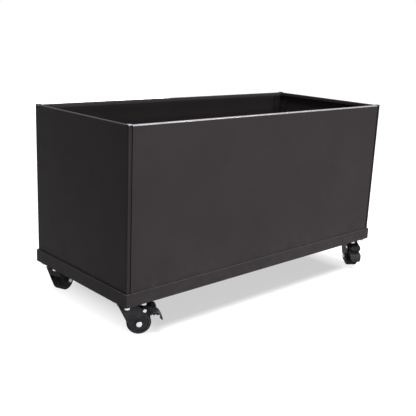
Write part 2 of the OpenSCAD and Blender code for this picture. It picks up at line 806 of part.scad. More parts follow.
module lower_tongue() {
    path = lower_path();
    thin = [[0, -1], [-0.2, -1], [-0.4, -0.9], [-0.7, -0.75], [-0.85, -0.5], [-1, -0.3]];
    deep = [[0, -1], [0, -1], [-0.15, -1], [-0.4, -0.9], [-0.65, -0.6], [-0.4, -0.05]];
    arch_z = pivot_z - lower_drop + pedal_sheet - skirt_deep;
    intersection() {
        union() {
            across(-pedal_out, pedal_out) strip(path, pedal_sheet * thin);
            difference() {
                union() {
                    across(-pedal_out, cheek_wall - pedal_out) strip(path, skirt_deep * deep);
                    across(pedal_out - cheek_wall, pedal_out) strip(path, skirt_deep * deep);
                }
                for (i = [0 : scallops - 1])
                    translate([pivot_s + lower_len + scallop_lead - i * scallop_pitch, 0, arch_z - 1])
                        rotate([90, 0, 0]) cylinder(r = scallop_r, h = 3 * pedal_out, center = true);
            }
        }
        linear_extrude(2 * caster_high) tongue_plan(pivot_s + lower_len + lower_reach);
    }
}

module pedal_cheek_shape() {
    x = pivot_s;
    z = pivot_z;
    boss_r = pedal_pin_r + pedal_boss;
    high = z + upper_rise + pedal_sheet / 2;
    low = z - lower_drop + pedal_sheet;
    lap_x = x + flat_start + skirt_lap;
    translate([x, z]) circle(boss_r);
    polygon([
        [x - pedal_root, z + pedal_sheet], [x - pedal_root, high], [x + neck_len, high],
        [x + neck_len - pedal_sheet, z + pedal_sheet], [lap_x, low], [lap_x, low - skirt_deep],
        [lap_x - 2 * skirt_lap, low - skirt_deep], [x, z - boss_r]
    ]);
}

module pedal() {
    carrier = wheel_r + pass_clear + shoe_thick + hole_clear;
    color(black_steel) difference() {
        union() {
            across(-pedal_out, cheek_wall - pedal_out) pedal_cheek_shape();
            across(pedal_out - cheek_wall, pedal_out) pedal_cheek_shape();
            upper_tongue();
            lower_tongue();
            across(-pedal_out, pedal_out) released() brake_arc(carrier, carrier + pedal_sheet, 1);
        }
        translate([pivot_s, -pedal_out - 1, pivot_z]) rotate([-90, 0, 0])
            cylinder(r = pedal_pin_r + run_clear, h = 2 * pedal_out + 2);
    }
}

// Presses a pedal down from where it rests to where it locks the wheel
module pressed(angle) {
    translate([pivot_s, 0, pivot_z]) rotate([0, angle, 0]) translate([-pivot_s, 0, -pivot_z])
        children();
}

module pedal_pin() {
    color(zinc) translate([pivot_s, 0, pivot_z]) rotate([-90, 0, 0]) {
        cylinder(r = pedal_pin_r, h = 2 * (cheek_out + 0.5), center = true);
        for (side = [0, 1]) mirror([0, 0, side]) translate([0, 0, cheek_out])
            cylinder(r1 = pedal_pin_head_r, r2 = pedal_pin_head_r - 1.2, h = pedal_pin_head);
    }
}

module brake_shoe() {
    wide = wheel_wid / 2 - 1;
    face = wheel_r + pass_clear;
    color(black_rubber) across(-wide, wide) released() brake_arc(face, face + shoe_thick, 0);
}

// A leaf riveted under the crown, which bears on the root of the pedal
module brake_spring() {
    x0 = king_head_r + 3;
    x1 = pivot_s - pedal_root - pass_clear;
    tip = pivot_z + upper_rise;
    color(zinc) across(-spring_wid / 2, spring_wid / 2) strip(
        [[x0, crown_under], [-lead_x, crown_under], [x1, tip]],
        [[0, -spring_thick], [-0.2, -spring_thick], [-0.2, -spring_thick]]
    );
}

long_panel_at(false);  // front_panel
long_panel_at(true);  // back_panel
end_panel_at(false);  // left_end_panel
end_panel_at(true);  // right_end_panel
post_at(-1, -1);  // front_left_post
post_at(1, -1);  // front_right_post
post_at(-1, 1);  // back_left_post
post_at(1, 1);  // back_right_post
corner_rivets();
floor_panel();
floor_rivets();
floor_bearers();
support_pads();
base_tray();
tray_rails();
caster_bolts();
caster_nuts();
king_pins();
bearing_balls();

// Each row is a caster: its name, its side along X, its side along Y, its turn, whether it has a
// brake, and how far its pedal is pressed
for (c = [
    ["front_left", -1, -1, front_left_turn, true, 0],
    ["front_right", 1, -1, front_right_turn, true, pedal_travel],
    ["back_left", -1, 1, back_left_turn, false, 0],
    ["back_right", 1, 1, back_right_turn, false, 0]
]) {
    plate_at(c[1], c[2]);
    at_caster(c[1], c[2], c[3]) fork(c[4]);
    at_caster(c[1], c[2], c[3]) axle_bolt();
    at_caster(c[1], c[2], c[3]) axle_nut();
    at_caster(c[1], c[2], c[3]) axle_washers();
    at_caster(c[1], c[2], c[3]) sleeve();
    at_caster(c[1], c[2], c[3]) wheel_core();
    at_caster(c[1], c[2], c[3]) tyre();
    if (c[4]) {
        at_caster(c[1], c[2], c[3]) pressed(c[5]) pedal();
        at_caster(c[1], c[2], c[3]) pedal_pin();
        at_caster(c[1], c[2], c[3]) pressed(c[5]) brake_shoe();
        at_caster(c[1], c[2], c[3]) brake_spring();
    }
}
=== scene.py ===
import json
import math

import bmesh
import bpy
from bpy.props import FloatProperty, FloatVectorProperty, IntProperty, PointerProperty
from mathutils import Matrix, Vector


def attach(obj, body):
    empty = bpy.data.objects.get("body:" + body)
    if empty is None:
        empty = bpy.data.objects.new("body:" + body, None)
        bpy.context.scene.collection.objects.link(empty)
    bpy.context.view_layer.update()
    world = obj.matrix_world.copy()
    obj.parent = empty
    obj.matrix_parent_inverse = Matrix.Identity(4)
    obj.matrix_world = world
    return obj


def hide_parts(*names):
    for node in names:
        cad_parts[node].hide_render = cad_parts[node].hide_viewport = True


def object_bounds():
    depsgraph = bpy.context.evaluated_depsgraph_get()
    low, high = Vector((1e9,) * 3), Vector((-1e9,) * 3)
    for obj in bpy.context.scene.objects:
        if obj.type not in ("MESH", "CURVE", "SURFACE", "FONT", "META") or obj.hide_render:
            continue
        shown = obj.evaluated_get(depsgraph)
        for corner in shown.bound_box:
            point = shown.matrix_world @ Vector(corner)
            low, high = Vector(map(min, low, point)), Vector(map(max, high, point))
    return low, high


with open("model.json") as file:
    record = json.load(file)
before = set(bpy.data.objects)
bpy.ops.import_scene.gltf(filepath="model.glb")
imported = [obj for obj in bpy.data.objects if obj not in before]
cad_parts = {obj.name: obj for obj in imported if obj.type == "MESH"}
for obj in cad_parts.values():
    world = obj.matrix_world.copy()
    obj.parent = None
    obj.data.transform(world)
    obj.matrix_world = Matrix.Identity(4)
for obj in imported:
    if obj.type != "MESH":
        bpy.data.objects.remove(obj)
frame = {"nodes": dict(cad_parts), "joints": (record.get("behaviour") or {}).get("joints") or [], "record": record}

bl_info = {
    "name": "Rolling planter",
    "version": (1, 0, 0),
    "blender": (4, 5, 0),
    "location": "3D View > Sidebar > Planter",
    "description": "Dresses a rolling sheet-steel planter: box, tray, casters, brakes, stage and light",
    "category": "Object",
}

CAD_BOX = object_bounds()
TOP = CAD_BOX[1][2]
JOINTS = {joint["name"]: joint for joint in frame["joints"]}
CASTERS = ("front_left", "front_right", "back_left", "back_right")
BRAKED = ("front_left", "front_right")
MM = 0.001
WELD = 0.002 * MM  # corners of a CAD mesh that lie closer than this are one corner
PAINTED_LIGHT = "burnished"  # face attribute of painted highlight and painted light, from 0 to 1


# ---- sizes and colours that a user would change ----


def colour_property(name, description, default):
    return FloatVectorProperty(
        name=name, description=description, subtype="COLOR", size=3, min=0.0, max=1.0, default=default
    )


def length_property(name, description, default):
    return FloatProperty(name=name, description=description, unit="LENGTH", min=0.0, default=default)


def share_property(name, description, default):
    return FloatProperty(name=name, description=description, min=0.0, max=1.0, default=default)


def angle_property(name, description, degrees):
    return FloatProperty(name=name, description=description, subtype="ANGLE", default=math.radians(degrees))


def power_property(name, description, watts):
    return FloatProperty(name=name, description=description, unit="POWER", min=0.0, default=watts)


class PlanterSizes(bpy.types.PropertyGroup):
    sheet_edge: length_property("Sheet edge", "Rounding of the sheet's cut edges", 0.35 * MM)
    fork_fold: length_property("Fork fold", "Rounding along the fork's leading edge", 2.4 * MM)
    stamped_edge: length_property("Stamped edge", "Rounding of stamped edges", 0.45 * MM)
    pedal_bend: length_property("Pedal bend", "Rounding of the bends across the pedals' tongues", 1.6 * MM)
    tyre_shoulder: length_property("Tyre shoulder", "Rounding of the tyre's shoulders", 4.0 * MM)
    lathe_steps: IntProperty(
        name="Steps round", description="Steps round a turned piece", default=128, min=24
    )
    nut_flats: length_property("Nut flats", "Distance across the flats of a plate nut", 12.0 * MM)


class PlanterFinish(bpy.types.PropertyGroup):
    panel_paint: colour_property(
        "Panel paint", "Powder coat of the box and the tray", (0.0332, 0.0290, 0.0301)
    )
    post_paint: colour_property("Post paint", "Powder coat of the corner posts", (0.028, 0.0255, 0.0265))
    black_coat: colour_property(
        "Black coat", "Coating of the plates and the front left fork", (0.0200, 0.0186, 0.0214)
    )
    # painted shade: a darker copy of the black coat, on the pedals and on the three forks other than the front
    # left
    shade_painted_coat: colour_property(
        "Deep coat", "Blacker coating of the pedals and the other forks", (0.0070, 0.0066, 0.0076)
    )
    zinc: colour_property("Zinc", "Zinc plate of the nuts, bolts and rivets", (0.50, 0.51, 0.53))
    steel: colour_property("Steel", "Bare steel of the balls, sleeves and springs", (0.55, 0.55, 0.56))
    rubber: colour_property("Rubber", "Rubber of the tyres and pads", (0.0065, 0.0065, 0.0070))
    moulding: colour_property("Moulding", "Plastic of the wheel cores", (0.014, 0.014, 0.016))


class PlanterPaintedLight(bpy.types.PropertyGroup):
    """Painted highlights and painted light: where the coating is lightened to match the photograph"""

    rim_flat: share_property("Rim's flat", "How bright the flat of the front rim is", 0.42)
    rim_fold: share_property("Rim's fold", "How bright the fold of the front rim is", 0.68)
    back_return: share_property("Back return", "How bright the return of the back rim is", 0.016)
    left_cap: share_property("Left cap", "How bright the cap of the front left post is", 0.62)
    right_cap: share_property("Right cap", "How bright the cap of the front right post is", 0.12)
    tray_lip: share_property("Tray lip", "How bright the top of the tray's lip is", 0.10)
    tyre_wall: share_property("Tyre wall", "How grey the ring on each wall of a tyre is", 0.16)
    pedal_tongue: share_property("Pedal tongue", "How bright a pedal's lower tongue is", 0.14)
    pedal_edges: share_property("Pedal edges", "How bright the bent edges of a pedal are", 0.03)


class PlanterStudio(bpy.types.PropertyGroup):
    lens: FloatProperty(name="Lens", description="Camera's focal length", unit="CAMERA", default=59.825)
    camera_place: FloatVectorProperty(
        name="Camera place", description="Where the camera stands", subtype="TRANSLATION", size=3,
        default=(-1.43544, -1.49483, 0.77312),
    )
    azimuth: angle_property("Azimuth", "Camera's turn round the object", -43.017)
    elevation: angle_property("Elevation", "How far the camera looks down", 14.960)
    roll: angle_property("Roll", "Camera's tilt about its line of sight", 2.487)
    front_power: power_property("Front", "Power of the front lamp", 198.0)
    top_power: power_property("Top", "Power of the lamp overhead", 110.0)
    rim_power: power_property("Rim", "Power of the lamp for the rim", 25.0)
    back_power: power_property("Back", "Power of the lamp behind", 140.0)
    ambient: FloatProperty(name="Ambient", description="Strength of the surrounding light", default=0.14)
    floor: colour_property("Floor", "Colour of the floor", (0.38, 0.38, 0.38))
    # glow inside the rectangle of painted shadow
    painted_shadow_glow: FloatProperty(
        name="Floor glow", description="Strength of the floor's own glow under the object", default=0.53
    )
    shadow_inset: FloatVectorProperty(
        name="Shadow inset", description="How far the dim part of the glow stays inside the tray's outline",
        subtype="TRANSLATION", size=2, default=(0.13, 0.06),
    )
    cleared: length_property("Cleared at", "Width of the soft edge round the dim part of the glow", 0.11)


# ---- node materials ----


class Graph:
    """A short way to write the nodes of a material or of the world."""

    def __init__(self, owner, output):
        owner.use_nodes = True
        self.nodes = owner.node_tree.nodes
        self.links = owner.node_tree.links
        self.nodes.clear()
        self.surface = self.nodes.new(output).inputs["Surface"]

    def add(self, kind, settings=(), **inputs):
        node = self.nodes.new(kind)
        for name, value in dict(settings).items():
            setattr(node, name, value)
        for name, value in inputs.items():
            self.put(node.inputs[name.replace("_", " ")], value)
        return node

    def put(self, socket, value):
        if isinstance(value, bpy.types.NodeSocket):
            self.links.new(value, socket)
        else:
            socket.default_value = value

    def band(self, value, low, high, out_low, out_high):
        node = self.add("ShaderNodeMapRange", Value=value)
        limits = {"From Min": low, "From Max": high, "To Min": out_low, "To Max": out_high}
        for name, number in limits.items():
            node.inputs[name].default_value = number
        return node.outputs[0]

    def math(self, operation, first, second=0.0):
        node = self.nodes.new("ShaderNodeMath")
        node.operation = operation
        self.put(node.inputs[0], first)
        self.put(node.inputs[1], second)
        return node.outputs[0]

    def seen_directly(self):
        """1 for rays that see a white backdrop, straight or in a reflection, and 0 for diffuse ones."""
        path = self.nodes.new("ShaderNodeLightPath")
        total = self.math("ADD", path.outputs["Is Camera Ray"], path.outputs["Is Glossy Ray"])
        total = self.math("ADD", total, path.outputs["Is Transmission Ray"])
        return self.math("MINIMUM", total, 1.0)


class Coat(Graph):
    """The nodes of one material, whose patterns lie in the object's own coordinates."""

    def __init__(self, name):
        self.material = bpy.data.materials.new(name)
        super().__init__(self.material, "ShaderNodeOutputMaterial")
        self.place = self.nodes.new("ShaderNodeTexCoord").outputs["Object"]

    def noise(self, scale, detail=3.0, roughness=0.5, stretch=(1, 1, 1)):
        mapping = self.add("ShaderNodeMapping", Vector=self.place, Scale=stretch)
        return self.add(
            "ShaderNodeTexNoise", Vector=mapping.outputs[0], Scale=scale, Detail=detail, Roughness=roughness
        ).outputs[0]

    def mix(self, factor, first, second):
        node = self.nodes.new("ShaderNodeMix")
        node.data_type = "RGBA"
        self.put(node.inputs["Factor"], factor)
        self.put(node.inputs["A"], first)
        self.put(node.inputs["B"], second)
        return node.outputs["Result"]

    def height(self):
        return self.add("ShaderNodeSeparateXYZ", Vector=self.place).outputs["Z"]

    def burnished(self):
        """The face's share of painted highlight or painted light, as marked on its mesh."""
        return self.add("ShaderNodeAttribute", {"attribute_name": PAINTED_LIGHT}).outputs["Fac"]

    def bump(self, value, strength, distance, below=None):
        node = self.add("ShaderNodeBump", Strength=strength, Distance=distance, Height=value)
        if below is not None:
            self.put(node.inputs["Normal"], below)
        return node.outputs[0]

    def shade(self, **inputs):
        shader = self.nodes.new("ShaderNodeBsdfPrincipled")
        for name, value in inputs.items():
            self.put(shader.inputs[name.replace("_", " ")], value)
        self.links.new(shader.outputs[0], self.surface)
        return self.material


def shade_of(colour, factor):
    """A lighter or darker shade of a colour, as a node's socket takes it."""
    return tuple(min(1.0, part * factor) for part in colour) + (1.0,)


def powder_coat(name, colour, rough=0.46, level=0.03):
    """Matt powder coat: fine orange peel, faint clouding, a few pale specks, dust low down, and a painted
    highlight on marked faces.
    """
    speck_colour = (0.20, 0.20, 0.20, 1.0)
    dust_colour = (0.24, 0.235, 0.23, 1.0)
    painted_light_colour = (0.52, 0.50, 0.55, 1.0)
    g = Coat(name)
    clouds = g.band(g.noise(5.0, 4.0, 0.6), 0.35, 0.65, 0.0, 1.0)
    base = g.mix(clouds, shade_of(colour, 0.93), shade_of(colour, 1.08))
    grain = g.band(g.noise(1400.0, 2.0, 0.7), 0.40, 0.60, 0.0, 1.0)
    base = g.mix(g.math("MULTIPLY", grain, 0.20), base, shade_of(colour, 1.5))
    specks = g.band(g.noise(620.0, 1.0), 0.72, 0.76, 0.0, 0.12)
    base = g.mix(specks, base, speck_colour)
    low = g.band(g.height(), 0.09, 0.20, 1.0, 0.0)
    dust = g.math("MULTIPLY", low, g.band(g.noise(34.0, 5.0, 0.7), 0.45, 0.75, 0.0, 0.06))
    base = g.mix(dust, base, dust_colour)
    # painted highlight: marked faces turn pale, partly metallic and smoother
    painted_light_share = g.burnished()
    base = g.mix(painted_light_share, base, painted_light_colour)
    metal = g.math("MULTIPLY", painted_light_share, 0.85)
    peel = g.noise(520.0, 2.0, 0.5)
    waves = g.noise(55.0, 2.0, 0.5)
    normal = g.bump(waves, 0.10, 0.0002)
    normal = g.bump(peel, 0.22, 0.00012, normal)
    normal = g.bump(g.noise(2100.0, 1.0), 0.16, 0.00005, normal)
    roughness = g.band(g.noise(28.0, 4.0, 0.6), 0.3, 0.7, rough - 0.05, rough + 0.06)
    roughness = g.math("SUBTRACT", roughness, g.math("MULTIPLY", painted_light_share, 0.18))
    return g.shade(
        Base_Color=base, Metallic=metal, Roughness=roughness, Specular_IOR_Level=level, Normal=normal
    )


def black_coat(name, colour, rough=0.36, level=0.09):
    """Thin satin black on pressed steel: mill grain under it, thin patches, grey dust, near black from 66 mm up,
    and painted light on marked faces.
    """
    thin_colour = (0.10, 0.10, 0.11, 1.0)
    dust_colour = (0.22, 0.21, 0.20, 1.0)
    darker_top_colour = (0.005, 0.005, 0.006, 1.0)
    painted_light_colour = (0.30, 0.29, 0.32, 1.0)
    g = Coat(name)
    patches = g.band(g.noise(60.0, 5.0, 0.6), 0.38, 0.66, 0.0, 1.0)
    base = g.mix(patches, shade_of(colour, 0.8), shade_of(colour, 1.35))
    thin = g.band(g.noise(240.0, 4.0, 0.75), 0.66, 0.76, 0.0, 0.30)
    base = g.mix(thin, base, thin_colour)
    dust = g.band(g.noise(34.0, 6.0, 0.7), 0.50, 0.80, 0.0, 0.08)
    base = g.mix(dust, base, dust_colour)
    # darker towards near black from 66 mm up, fully from 77 mm
    upper_band = g.band(g.height(), 0.066, 0.077, 0.0, 0.75)
    darker_top = g.math("MULTIPLY", upper_band, g.band(patches, 0.0, 1.0, 1.0, 0.7))
    base = g.mix(darker_top, base, darker_top_colour)
    # painted light: marked faces turn pale grey
    base = g.mix(g.burnished(), base, painted_light_colour)
    normal = g.bump(g.noise(700.0, 3.0, 0.6), 0.22, 0.00012)
    normal = g.bump(g.noise(90.0, 2.0, 0.5), 0.15, 0.0006, normal)
    roughness = g.band(g.noise(85.0, 5.0, 0.65), 0.3, 0.7, rough - 0.08, rough + 0.16)
    return g.shade(Base_Color=base, Roughness=roughness, Specular_IOR_Level=level, Normal=normal)


def bright_metal(name, colour, rough=0.24, tint=(0.80, 0.80, 0.70)):
    """Plated or ground metal: faint spangle, a yellowish cast in patches and fine tool marks."""
    g = Coat(name)
    spangle = g.band(g.noise(330.0, 2.0, 0.6), 0.35, 0.65, 0.0, 1.0)
    base = g.mix(spangle, shade_of(colour, 0.9), shade_of(colour, 1.08))
    cast = g.band(g.noise(45.0, 3.0, 0.6), 0.45, 0.75, 0.0, 0.35)
    base = g.mix(cast, base, tint + (1.0,))
    marks = g.noise(380.0, 2.0, 0.6, (1.0, 1.0, 9.0))
    normal = g.bump(marks, 0.10, 0.00008)
    roughness = g.band(g.noise(160.0, 4.0, 0.6), 0.3, 0.7, rough - 0.06, rough + 0.14)
    return g.shade(Base_Color=base, Metallic=1.0, Roughness=roughness, Normal=normal)


def moulded_rubber(name, colour, rough=0.66, scuff=0.16):
    """Black rubber: fine pores, a soft bloom, pale scuffs, and a painted highlight on marked faces."""
    scuff_colour = (0.10, 0.098, 0.095, 1.0)
    ring_highlight_colour = (0.30, 0.29, 0.29, 1.0)
    g = Coat(name)
    bloom = g.band(g.noise(48.0, 5.0, 0.65), 0.40, 0.72, 0.0, 1.0)
    base = g.mix(bloom, shade_of(colour, 0.85), shade_of(colour, 1.9))
    scuffs = g.band(g.noise(210.0, 5.0, 0.8, (1.0, 1.0, 0.35)), 0.60, 0.74, 0.0, scuff)
    base = g.mix(scuffs, base, scuff_colour)
    # painted highlight: the marked ring of each tyre wall turns grey
    base = g.mix(g.burnished(), base, ring_highlight_colour)
    normal = g.bump(g.noise(1500.0, 2.0, 0.7), 0.35, 0.0001)
    roughness = g.band(g.noise(70.0, 4.0, 0.6), 0.3, 0.7, rough - 0.08, rough + 0.12)
    return g.shade(Base_Color=base, Roughness=roughness, Specular_IOR_Level=0.08, Normal=normal)


def moulded_plastic(name, colour):
    """Dull moulded plastic: a fine spark-eroded grain and slight flow marks."""
    g = Coat(name)
    flow = g.band(g.noise(38.0, 3.0, 0.5, (1.0, 1.0, 3.0)), 0.35, 0.65, 0.0, 1.0)
    base = g.mix(flow, shade_of(colour, 0.85), shade_of(colour, 1.3))
    normal = g.bump(g.noise(1900.0, 2.0, 0.6), 0.30, 0.00008)
    roughness = g.band(g.noise(120.0, 3.0, 0.6), 0.3, 0.7, 0.42, 0.58)
    return g.shade(Base_Color=base, Roughness=roughness, Specular_IOR_Level=0.5, Normal=normal)


def finishes():
    """The object's materials by name, made once."""
    wanted = {
        "panel_powder": lambda f: powder_coat("panel_powder", f.panel_paint),
        "post_powder": lambda f: powder_coat("post_powder", f.post_paint, 0.50),
        "pressed_black": lambda f: black_coat("pressed_black", f.black_coat),
        # painted shade: a darker copy of the black coat
        "deep_black": lambda f: black_coat("deep_black", f.shade_painted_coat, 0.42, 0.06),
        "zinc_plate": lambda f: bright_metal("zinc_plate", f.zinc),
        "ground_steel": lambda f: bright_metal("ground_steel", f.steel, 0.28, (0.50, 0.47, 0.42)),
        "tyre_compound": lambda f: moulded_rubber("tyre_compound", f.rubber),
        "pad_compound": lambda f: moulded_rubber("pad_compound", f.rubber, 0.75, 0.12),
        "core_moulding": lambda f: moulded_plastic("core_moulding", f.moulding),
    }
    finish = bpy.context.scene.planter_finish
    for name, make in wanted.items():
        if name not in bpy.data.materials:
            make(finish)
    return bpy.data.materials


SLOT_FINISH = {
    "charcoal_paint": "panel_powder",
    "post_paint": "post_powder",
    "black_steel": "pressed_black",
    "zinc": "zinc_plate",
    "bright_steel": "ground_steel",
    "spring_steel": "ground_steel",
    "core_plastic": "core_moulding",
    "tyre_rubber": "tyre_compound",
    "shoe_rubber": "pad_compound",
    "rubber_pads": "pad_compound",
}
SLOT_OF = {part["node"]: part["material_slot"] for part in frame["record"]["subparts"]}


# ---- meshes ----


def finish_of(node):
    return finishes()[SLOT_FINISH[SLOT_OF[node]]]


def body_with(node):
    for body, members in frame["record"]["behaviour"]["bodies"].items():
        if node in members:
            return body
    raise RuntimeError(f"no body holds {node}")


def merged(node):
    """A CAD node's triangles joined into whole faces, as a bmesh of their own."""
    bm = bmesh.new()
    bm.from_mesh(frame["nodes"][node].data)
    bmesh.ops.remove_doubles(bm, verts=bm.verts, dist=WELD)
    flat = math.radians(0.6)
    bmesh.ops.dissolve_limit(bm, angle_limit=flat, verts=bm.verts, edges=bm.edges, delimit={"NORMAL"})
    bmesh.ops.recalc_face_normals(bm, faces=bm.faces)
    return bm


def islands(node):
    """The lowest and highest corners of each separate solid in a CAD node."""
    bm = bmesh.new()
    bm.from_mesh(frame["nodes"][node].data)
    bmesh.ops.remove_doubles(bm, verts=bm.verts, dist=WELD)
    left = set(bm.verts)
    found = []
    while left:
        stack = [left.pop()]
        group = []
        while stack:
            vert = stack.pop()
            group.append(vert.co.copy())
            for edge in vert.link_edges:
                other = edge.other_vert(vert)
                if other in left:
                    left.remove(other)
                    stack.append(other)
        low = Vector([min(place[i] for place in group) for i in range(3)])
        high = Vector([max(place[i] for place in group) for i in range(3)])
        found.append((low, high))
    bm.free()
    return sorted(found, key=lambda box: tuple(round(part, 6) for part in box[0]))


def soften(obj, width, segments=2, angle=35.0):
    """Rounds the sharp edges and evens the shading of the flats, in the mesh itself."""
    if width > 0:
        bevel = obj.modifiers.new("edges", "BEVEL")
        bevel.width = width
        bevel.segments = segments
        bevel.limit_method = "ANGLE"
        bevel.angle_limit = math.radians(angle)
        bevel.miter_outer = "MITER_ARC"
    flats = obj.modifiers.new("flats", "WEIGHTED_NORMAL")
    flats.keep_sharp = True
    return bake(obj)


def bake(obj):
    """Turns the modifiers' result into the object's own plain mesh."""
    graph = bpy.context.evaluated_depsgraph_get()
    mesh = bpy.data.meshes.new_from_object(obj.evaluated_get(graph))
    obj.modifiers.clear()
    old = obj.data
    obj.data = mesh
    bpy.data.meshes.remove(old)
    mesh.name = obj.name
    return obj


def linked(name, data):
    """A new object of a mesh, a lamp or a camera, put into the scene."""
    obj = bpy.data.objects.new(name, data)
    bpy.context.scene.collection.objects.link(obj)
    return obj


def new_object(name, bm, sharp=35.0):
    """An object in the shared frame from a bmesh, smooth but for its sharp edges."""
    mesh = bpy.data.meshes.new(name)
    bm.to_mesh(mesh)
    bm.free()
    for face in mesh.polygons:
        face.use_smooth = True
    mesh.set_sharp_from_angle(angle=math.radians(sharp))
    return linked(name, mesh)


def paint_light_marks(obj, share):
    """Marks each face's share of painted highlight or painted light, from 0 to 1, for the finish to read."""
    marks = obj.data.attributes.new(PAINTED_LIGHT, "FLOAT", "FACE")
    for face in obj.data.polygons:
        marks.data[face.index].value = float(share(face.center, face.normal))


def settle(obj, node, finish=None):
    """Gives a finished piece its finish and its body, and hides the CAD node that it stands for."""
    obj.data.materials.clear()
    obj.data.materials.append(finishes()[finish] if finish else finish_of(node))
    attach(obj, body_with(node))
    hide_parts(node)
    return obj


def dress(node, width, segments=2, angle=35.0, painted_light_share=None, shape=None, finish=None):
    """A CAD node's shape, or a shape made from it, with its edges rounded and its finish on."""
    obj = new_object("piece_" + node, shape or merged(node), 30.0)
    soften(obj, width, segments, angle)
    if painted_light_share is not None:
        paint_light_marks(obj, painted_light_share)
    return settle(obj, node, finish)


class Swivel:
    """A caster's own frame: along its trail, across its wheel, and up from the floor."""

    def __init__(self, caster):
        spin = JOINTS[caster + "_wheel_spin"]
        turn = JOINTS[caster + "_swivel_turn"]
        self.across = Vector(spin["axis"]).normalized()
        self.along = Vector((self.across.y, -self.across.x, 0.0))
        self.axle = Vector(spin["pos_m"])
        self.centre = Vector((turn["pos_m"][0], turn["pos_m"][1], 0.0))

    def local(self, point):
        """A point's place in the caster's own frame."""
        away = point - self.centre
        return Vector((away.dot(self.along), away.dot(self.across), point.z))


def arc(centre, radius, start, end, steps):
    """Points along an arc of a (radius, offset) profile, angles in degrees."""
    return [
        (centre[0] + radius * math.cos(math.radians(start + (end - start) * i / steps)),
         centre[1] + radius * math.sin(math.radians(start + (end - start) * i / steps)))
        for i in range(steps + 1)
    ]


# ---- geometry node trees ----


TREES = {}


class Tree:
    """A short way to write a geometry node tree with named inputs."""

    def __init__(self, name):
        self.group = bpy.data.node_groups.new(name, "GeometryNodeTree")
        self.sockets = {}
        self.socket("Geometry", "NodeSocketGeometry")
        self.group.interface.new_socket("Geometry", in_out="OUTPUT", socket_type="NodeSocketGeometry")
        self.start = self.group.nodes.new("NodeGroupInput")
        self.end = self.group.nodes.new("NodeGroupOutput")

    def socket(self, name, kind):
        item = self.group.interface.new_socket(name, in_out="INPUT", socket_type=kind)
        self.sockets[name] = item.identifier

    def add(self, kind, settings=(), **inputs):
        node = self.group.nodes.new(kind)
        for name, value in dict(settings).items():
            setattr(node, name, value)
        for name, value in inputs.items():
            socket = node.inputs[name.replace("_", " ")]
            if isinstance(value, bpy.types.NodeSocket):
                self.group.links.new(value, socket)
            else:
                socket.default_value = value
        return node

    def given(self, name):
        return self.start.outputs[name]

    def close(self, geometry):
        """Ends the tree in Realize Instances and Set Material."""
        real = self.add("GeometryNodeRealizeInstances", Geometry=geometry)
        coat = self.add("GeometryNodeSetMaterial", Geometry=real.outputs[0], Material=self.given("Material"))
        self.group.links.new(coat.outputs[0], self.end.inputs[0])

    def run(self, obj, values):
        """Runs the tree on an object and leaves its result there as a plain mesh."""
        modifier = obj.modifiers.new(self.group.name, "NODES")
        modifier.node_group = self.group
        for name, value in values.items():
            modifier[self.sockets[name]] = value
        return bake(obj)


def fastener_tree():
    """Sets a fastener on every point, turned along the point's own axis and spun by its number."""
    tree = Tree("fasteners")
    tree.socket("Fastener", "NodeSocketObject")
    tree.socket("Spin", "NodeSocketFloat")
    tree.socket("Material", "NodeSocketMaterial")
    shape = tree.add("GeometryNodeObjectInfo", Object=tree.given("Fastener"))
    axis = tree.add("GeometryNodeInputNamedAttribute", {"data_type": "FLOAT_VECTOR"}, Name="axis")
    face = tree.add("FunctionNodeAlignRotationToVector", {"axis": "Z"}, Vector=axis.outputs[0])
    number = tree.add("GeometryNodeInputIndex")
    angle = tree.add("ShaderNodeMath", {"operation": "MULTIPLY"})
    tree.group.links.new(number.outputs[0], angle.inputs[0])
    tree.group.links.new(tree.given("Spin"), angle.inputs[1])
    turn = tree.add("FunctionNodeAxisAngleToRotation", Axis=(0.0, 0.0, 1.0), Angle=angle.outputs[0])
    both = tree.add("FunctionNodeRotateRotation", {"rotation_space": "LOCAL"})
    tree.group.links.new(face.outputs[0], both.inputs[0])
    tree.group.links.new(turn.outputs[0], both.inputs[1])
    copies = tree.add(
        "GeometryNodeInstanceOnPoints", Points=tree.given("Geometry"), Instance=shape.outputs["Geometry"],
        Rotation=both.outputs[0],
    )
    tree.close(copies.outputs[0])
    return tree


def lathe_tree():
    """Sweeps a flat profile round a circle into a closed ring, and sets the ring on its axle."""
    tree = Tree("lathe")
    tree.socket("Radius", "NodeSocketFloat")
    tree.socket("Steps", "NodeSocketInt")
    tree.socket("Axle", "NodeSocketVector")
    tree.socket("Centre", "NodeSocketVector")
    tree.socket("Material", "NodeSocketMaterial")
    section = tree.add("GeometryNodeMeshToCurve", Mesh=tree.given("Geometry"))
    path = tree.add(
        "GeometryNodeCurvePrimitiveCircle", Resolution=tree.given("Steps"), Radius=tree.given("Radius")
    )
    level = tree.add("GeometryNodeSetCurveNormal", {"mode": "Z_UP"}, Curve=path.outputs[0])
    sweep = tree.add(
        "GeometryNodeCurveToMesh", Curve=level.outputs[0], Profile_Curve=section.outputs[0], Fill_Caps=False
    )
    face = tree.add("FunctionNodeAlignRotationToVector", {"axis": "Z"}, Vector=tree.given("Axle"))
    placed = tree.add(
        "GeometryNodeTransform", Geometry=sweep.outputs[0], Translation=tree.given("Centre"),
        Rotation=face.outputs[0],
    )
    tree.close(placed.outputs[0])
    return tree


def tree_named(name, make):
    """A tree that is made at its first use and shared after that."""
    if name not in TREES:
        TREES[name] = make()
    return TREES[name]


def set_fasteners(node, points, shape, spin=0.0):
    """One piece with a fastener at each (place, axis), standing for a CAD node."""
    mesh = bpy.data.meshes.new("piece_" + node)
    mesh.from_pydata([place for place, _ in points], [], [])
    axes = mesh.attributes.new("axis", "FLOAT_VECTOR", "POINT")
    for i, (_, axis) in enumerate(points):
        axes.data[i].vector = axis
    obj = linked("piece_" + node, mesh)
    values = {"Fastener": shape, "Spin": spin, "Material": finish_of(node)}
    tree_named("fasteners", fastener_tree).run(obj, values)
    bpy.data.objects.remove(shape)
    obj.data.set_sharp_from_angle(angle=math.radians(38.0))
    return settle(obj, node)


